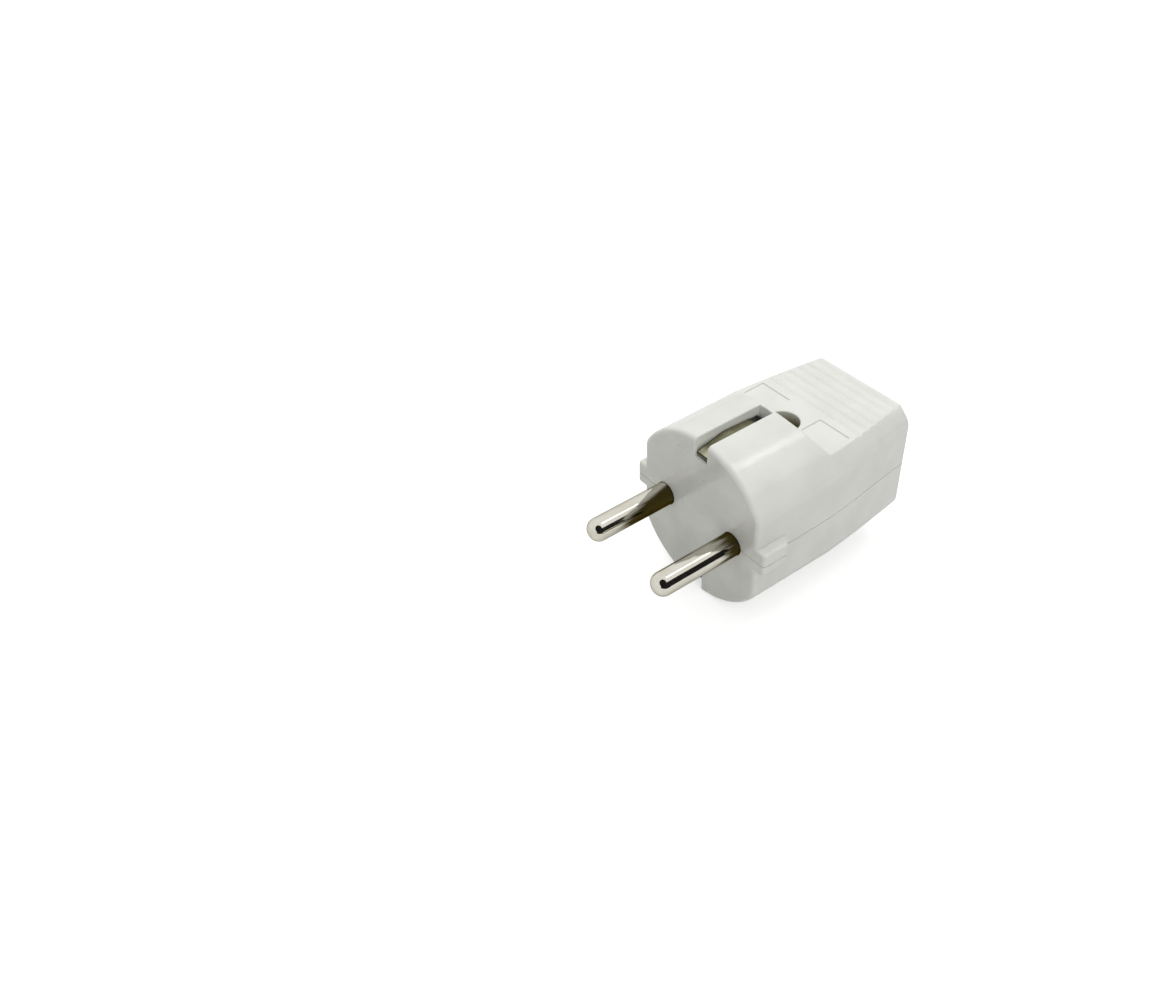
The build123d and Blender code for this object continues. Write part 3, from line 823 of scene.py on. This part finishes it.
class PLUG_OT_earth_strip(bpy.types.Operator):
    """Give the earth strip and its clamp plate their rolled finish, with a worn front end, edges darkened
    partly by tarnish and partly by painted shade, painted shade and reflection on its bend, and painted
    shade on its cut end
    """

    bl_idname = "plug.earth_strip"
    bl_label = "Earth Strip"

    def execute(self, context):
        look = context.scene.plug_metal
        colours = (look.strip, look.strip_stain)
        material = plating("strip_plating", *colours, STRIP_LINES, look.strip_gloss, look.strip_matt)
        nodes, links = material.node_tree.nodes, material.node_tree.links
        place = place_parts(nodes, links)
        beside = reckon(nodes, links, "ABSOLUTE", place["X"])
        # Edges: partly tarnish, partly painted shade. Bend: painted shade and reflection of the dark slot.
        # Cut end: painted shade of the gap under the tip
        edge_tarnish_and_shade = fade(nodes, links, beside, look.edge_start, look.edge_full)
        bend_shade = fade(nodes, links, place["Y"], look.bend_start, look.bend_full)
        at_front = fade(nodes, links, place["Y"], look.worn_reach, look.worn_full)
        end_shade = reckon(nodes, links, "LESS_THAN", place["Y"], look.strip_end)
        overlay(material, at_front, look.strip_worn)
        shaded_ends = reckon(nodes, links, "MAXIMUM", bend_shade, end_shade)
        overlay(material, reckon(nodes, links, "MAXIMUM", edge_tarnish_and_shade, shaded_ends), look.strip_tarnish_and_shade)
        dress("earth_strip", material)
        dress("earth_clamp_plate", material)
        return {"FINISHED"}


class PLUG_OT_screws(bpy.types.Operator):
    """Make the cross-head screws in place of their plain solids"""

    bl_idname = "plug.screws"
    bl_label = "Screws"

    def execute(self, context):
        look = context.scene.plug_metal
        sizes = context.scene.plug_fasteners
        colours = (look.zinc, look.zinc_stain)
        material = plating("screw_zinc", *colours, SCREW_LINES, look.screw_gloss, look.screw_matt)
        for name, axis in SCREW_HEADS.items():
            low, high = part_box(name)
            outwards = Vector(axis)
            along = max(range(3), key=lambda side: abs(outwards[side]))
            whole = (high - low)[along]
            head_radius = max((high - low)[side] for side in range(3) if side != along) / 2
            seat = (low + high) / 2 + outwards * (whole / 2 - sizes.head_height)
            rings = placed(screw_rings(sizes, head_radius, whole - sizes.head_height), seat, axis)
            add_piece(name, skin(name + "_detailed", rings, poles=True), material)
        return {"FINISHED"}


class PLUG_OT_nuts(bpy.types.Operator):
    """Make the chamfered, threaded nuts in place of their plain solids"""

    bl_idname = "plug.nuts"
    bl_label = "Nuts"

    def execute(self, context):
        look = context.scene.plug_metal
        sizes = context.scene.plug_fasteners
        colours = (look.zinc, look.zinc_stain)
        material = plating("nut_zinc", *colours, NUT_LINES, look.nut_gloss, look.nut_matt)
        for name, (axis, flats) in NUTS.items():
            low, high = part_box(name)
            along = axis.index(1)
            span = high - low
            width = min(span[side] for side in range(3) if side != along)
            seat = (low + high) / 2 - Vector(axis) * span[along] / 2
            rings = placed(nut_rings(sizes, flats, width, span[along]), seat, axis)
            add_piece(name, skin(name + "_detailed", rings, poles=False), material)
        return {"FINISHED"}


class PLUG_OT_cord_clamp(bpy.types.Operator):
    """Give the cord clamp its moulded finish"""

    bl_idname = "plug.cord_clamp"
    bl_label = "Cord Clamp"

    def execute(self, context):
        look = context.scene.plug_moulding
        dress("cord_clamp", moulding("clamp_moulding", look.clamp, look.clamp_shade))
        return {"FINISHED"}


def add_card(name, corners, shade):
    """Dark card that only reflections see, so that bright metal shows darker bands."""
    mesh = bpy.data.meshes.new(name)
    mesh.from_pydata(corners, [], [tuple(range(len(corners)))])
    material = bpy.data.materials.new(name)
    material.use_nodes = True
    shader = material.node_tree.nodes["Principled BSDF"]
    shader.inputs["Base Color"].default_value = (shade, shade, shade, 1.0)
    shader.inputs["Roughness"].default_value = 1.0
    shader.inputs["Specular IOR Level"].default_value = 0.0
    mesh.materials.append(material)
    card = bpy.data.objects.new(name, mesh)
    bpy.context.scene.collection.objects.link(card)
    card.visible_camera = False
    card.visible_diffuse = False
    card.visible_shadow = False


def background_glow(nodes, links, seen, reflected):
    """Glow of the background: one strength where the camera sees it, one where gloss or glass shows it."""
    path = nodes.new("ShaderNodeLightPath").outputs
    mirrored = reckon(nodes, links, "ADD", path["Is Glossy Ray"], path["Is Transmission Ray"])
    in_mirrors = reckon(nodes, links, "MULTIPLY", mirrored, reflected)
    in_picture = reckon(nodes, links, "MULTIPLY", path["Is Camera Ray"], seen)
    return reckon(nodes, links, "ADD", in_mirrors, in_picture)


def add_floor(look, height):
    """Pale floor, white in the picture but for the object's shadow, and clear when it is seen from below."""
    reach = look.floor_reach
    corners = [(x * reach, y * reach, height) for x, y in ((-1, -1), (1, -1), (1, 1), (-1, 1))]
    mesh = bpy.data.meshes.new("floor")
    mesh.from_pydata(corners, [], [(0, 1, 2, 3)])
    material = bpy.data.materials.new("pale_floor")
    material.use_nodes = True
    nodes, links = material.node_tree.nodes, material.node_tree.links
    shader = nodes["Principled BSDF"]
    shader.inputs["Base Color"].default_value = (*look.floor, 1.0)
    shader.inputs["Roughness"].default_value = FLOOR_ROUGHNESS
    shader.inputs["Specular IOR Level"].default_value = FLOOR_SPECULAR
    shader.inputs["Emission Color"].default_value = (1.0, 1.0, 1.0, 1.0)
    glow = background_glow(nodes, links, look.floor_lift, look.floor_gleam)
    links.new(glow, shader.inputs["Emission Strength"])
    from_below = nodes.new("ShaderNodeMixShader")
    links.new(nodes.new("ShaderNodeNewGeometry").outputs["Backfacing"], from_below.inputs["Fac"])
    links.new(shader.outputs["BSDF"], from_below.inputs[1])
    links.new(nodes.new("ShaderNodeBsdfTransparent").outputs["BSDF"], from_below.inputs[2])
    links.new(from_below.outputs["Shader"], nodes["Material Output"].inputs["Surface"])
    mesh.materials.append(material)
    floor = bpy.data.objects.new("floor", mesh)
    bpy.context.scene.collection.objects.link(floor)


def add_room(look):
    """World with a bright ceiling and dim walls, white where the camera, gloss or glass shows it."""
    world = bpy.data.worlds.new("bright_ceiling")
    bpy.context.scene.world = world
    world.use_nodes = True
    nodes, links = world.node_tree.nodes, world.node_tree.links
    heading = nodes.new("ShaderNodeSeparateXYZ")
    links.new(nodes.new("ShaderNodeTexCoord").outputs["Generated"], heading.inputs["Vector"])
    rise = nodes.new("ShaderNodeMapRange")
    rise.interpolation_type = "SMOOTHSTEP"
    rise.inputs["From Min"].default_value = look.wall_top
    rise.inputs["From Max"].default_value = look.ceiling_edge
    rise.inputs["To Min"].default_value = look.walls
    rise.inputs["To Max"].default_value = look.ceiling
    links.new(heading.outputs["Z"], rise.inputs["Value"])
    mix = nodes.new("ShaderNodeMix")
    mix.data_type = "FLOAT"
    mix.inputs["B"].default_value = 1.0
    links.new(background_glow(nodes, links, seen=1.0, reflected=1.0), mix.inputs["Factor"])
    links.new(rise.outputs["Result"], mix.inputs["A"])
    links.new(mix.outputs["Result"], nodes["Background"].inputs["Strength"])
    nodes["Background"].inputs["Color"].default_value = (1.0, 1.0, 1.0, 1.0)


def add_camera(look):
    """Camera that looks along its azimuth and elevation, then rolls about its view."""
    flat = cos(look.elevation)
    towards = Vector((-sin(look.azimuth) * flat, cos(look.azimuth) * flat, -sin(look.elevation)))
    level = towards.cross(Vector((0, 0, 1))).normalized()
    upright = level.cross(towards)
    right = cos(look.roll) * level + sin(look.roll) * upright
    up = right.cross(towards)
    camera = bpy.data.objects.new("camera", bpy.data.cameras.new("camera"))
    bpy.context.scene.collection.objects.link(camera)
    turn = Matrix((right, up, -towards)).transposed().to_4x4()
    camera.matrix_world = Matrix.Translation(look.camera_place) @ turn
    camera.data.sensor_fit = "HORIZONTAL"
    camera.data.sensor_width = SENSOR_WIDTH
    camera.data.lens = look.lens
    camera.data.clip_start = NEAREST
    camera.data.clip_end = FARTHEST
    bpy.context.scene.camera = camera


def add_lamp(name, place, power, width, height):
    """Lamp with a flat front that faces the origin."""
    lamp = bpy.data.lights.new(name, "AREA")
    lamp.shape = "RECTANGLE"
    lamp.energy = power
    lamp.size = width
    lamp.size_y = height
    holder = bpy.data.objects.new(name, lamp)
    bpy.context.scene.collection.objects.link(holder)
    holder.location = place
    holder.rotation_euler = (-Vector(place)).to_track_quat("-Z", "Y").to_euler()
    return holder


def add_lamps(look):
    """Strip lamp behind, which gloss shows as a bright line, and two soft lamps that it doesn't show."""
    add_lamp("key_lamp", look.key_place, look.key_power, look.key_width, look.key_height)
    for name, place, power in (
        ("top_lamp", look.top_place, look.top_power),
        ("fill_lamp", look.fill_place, look.fill_power),
    ):
        soft_lamp = add_lamp(name, place, power, look.soft_width, look.soft_width)
        soft_lamp.visible_glossy = False


def add_cards(look, floor_height):
    """Dark cards to the right of the plug and behind the camera's place.

    The right card is a rectangle that stands on the floor, along Y. The front card is a disc about the line
    from the middle through the camera's place, and square to it.
    """
    side, top = look.right_card_place, look.right_card_top
    near, far = -look.right_card_near, look.right_card_far
    low_edge = [(side, near, floor_height), (side, far, floor_height)]
    top_edge = [(side, far, top), (side, near, top)]
    add_card("right_card", low_edge + top_edge, look.right_card_shade)
    middle = Vector(look.camera_place) * look.front_card_setback
    across = middle.cross(Vector((0, 0, 1))).normalized() * look.front_card_radius
    upwards = across.cross(middle).normalized() * look.front_card_radius
    turns = np.linspace(0, 2 * pi, CARD_CORNERS, endpoint=False)
    corners = [middle + across * cos(turn) + upwards * sin(turn) for turn in turns]
    add_card("front_card", corners, look.front_card_shade)


class PLUG_OT_stage(bpy.types.Operator):
    """Set the floor, room, lamps, dark cards and camera"""

    bl_idname = "plug.stage"
    bl_label = "Stage"

    def execute(self, context):
        look = context.scene.plug_stage
        floor_height = CAD_BOX[0][2]
        add_floor(look, floor_height)
        add_room(look)
        add_camera(look)
        add_lamps(look)
        add_cards(look, floor_height)
        context.scene.view_settings.view_transform = "Standard"
        return {"FINISHED"}


class PLUG_PT_sidebar(bpy.types.Panel):
    """List of the plug's pieces and stage in the sidebar"""

    bl_label = "Earthed Mains Plug"
    bl_idname = "PLUG_PT_sidebar"
    bl_space_type = "VIEW_3D"
    bl_region_type = "UI"
    bl_category = "Plug"

    def draw(self, context):
        for operator in OPERATORS:
            self.layout.operator(operator.bl_idname)
        for settings in SETTINGS:
            held = getattr(context.scene, settings)
            box = self.layout.box()
            for name in held.__annotations__:
                box.prop(held, name)


OPERATORS = (
    PLUG_OT_shells,
    PLUG_OT_pins,
    PLUG_OT_earth_strip,
    PLUG_OT_screws,
    PLUG_OT_nuts,
    PLUG_OT_cord_clamp,
    PLUG_OT_stage,
)
SETTINGS = {
    "plug_moulding": MouldingFinish,
    "plug_metal": MetalFinish,
    "plug_fasteners": FastenerSizes,
    "plug_stage": StageLook,
}


def register():
    for settings, group in SETTINGS.items():
        bpy.utils.register_class(group)
        setattr(bpy.types.Scene, settings, bpy.props.PointerProperty(type=group))
    for operator in OPERATORS:
        bpy.utils.register_class(operator)
    bpy.utils.register_class(PLUG_PT_sidebar)


def unregister():
    bpy.utils.unregister_class(PLUG_PT_sidebar)
    for operator in reversed(OPERATORS):
        bpy.utils.unregister_class(operator)
    for settings, group in SETTINGS.items():
        delattr(bpy.types.Scene, settings)
        bpy.utils.unregister_class(group)


def main():
    register()
    bpy.ops.plug.shells()
    bpy.ops.plug.pins()
    bpy.ops.plug.earth_strip()
    bpy.ops.plug.screws()
    bpy.ops.plug.nuts()
    bpy.ops.plug.cord_clamp()
    bpy.ops.plug.stage()
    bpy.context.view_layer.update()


if __name__ == "__main__":
    main()
